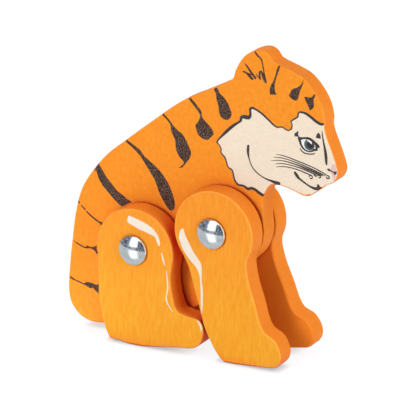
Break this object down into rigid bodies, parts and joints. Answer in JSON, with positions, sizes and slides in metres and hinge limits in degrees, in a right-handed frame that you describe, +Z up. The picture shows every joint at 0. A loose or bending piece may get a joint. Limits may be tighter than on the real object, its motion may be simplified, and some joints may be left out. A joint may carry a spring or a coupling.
{
  "type": "jointed wooden tiger",
  "caption": "Flat wooden tiger with a striped body and head board and swinging legs held on through pins by domed caps, posed sitting.",
  "frame": {"origin": "on the ground, in the middle of the bounding box seen from above", "axes": "+X points ahead of the tiger, the way its nose looks; +Z is up; -Y is the tiger's right side"},
  "size_m": [0.1169, 0.0346, 0.1228],
  "materials": {
    "body_paint": "satin paint over fine grain",
    "leg_paint": "satin paint over fine grain",
    "zinc_cap": "bright zinc plate",
    "pin_steel": "drawn wire",
    "spring_steel": "blued",
    "spacer_fibre": "matt",
    "dark_print": "matt ink",
    "cream_print": "matt ink",
    "white_print": "matt ink",
    "eye_print": "matt ink"
  },
  "bodies": {
    "body": {"body_board": "body_paint", "front_pin": "pin_steel", "rear_pin": "pin_steel", "front_spacer_right": "spacer_fibre", "front_spacer_left": "spacer_fibre", "rear_spacer_right": "spacer_fibre", "rear_spacer_left": "spacer_fibre", "front_grip_right": "spring_steel", "front_grip_left": "spring_steel", "rear_grip_right": "spring_steel", "rear_grip_left": "spring_steel", "front_cap_right": "zinc_cap", "front_cap_left": "zinc_cap", "rear_cap_right": "zinc_cap", "rear_cap_left": "zinc_cap"},
    "front_leg_right": {"front_leg_right": "leg_paint"},
    "front_leg_left": {"front_leg_left": "leg_paint"},
    "rear_leg_right": {"rear_leg_right": "leg_paint"},
    "rear_leg_left": {"rear_leg_left": "leg_paint"}
  },
  "joints": [
    {"name": "front_right_swing", "type": "hinge", "parent": "body", "child": "front_leg_right", "pos_m": [0.01, -0.0099, 0.0512], "axis": [0, -1, 0], "range_deg": [0, 200]},
    {"name": "front_left_swing", "type": "hinge", "parent": "body", "child": "front_leg_left", "pos_m": [0.01, 0.0099, 0.0512], "axis": [0, -1, 0], "range_deg": [-5, 195]},
    {"name": "rear_right_swing", "type": "hinge", "parent": "body", "child": "rear_leg_right", "pos_m": [-0.024, -0.0099, 0.039], "axis": [0, 1, 0], "range_deg": [0, 150]},
    {"name": "rear_left_swing", "type": "hinge", "parent": "body", "child": "rear_leg_left", "pos_m": [-0.024, 0.0099, 0.039], "axis": [0, 1, 0], "range_deg": [0, 150]}
  ]
}
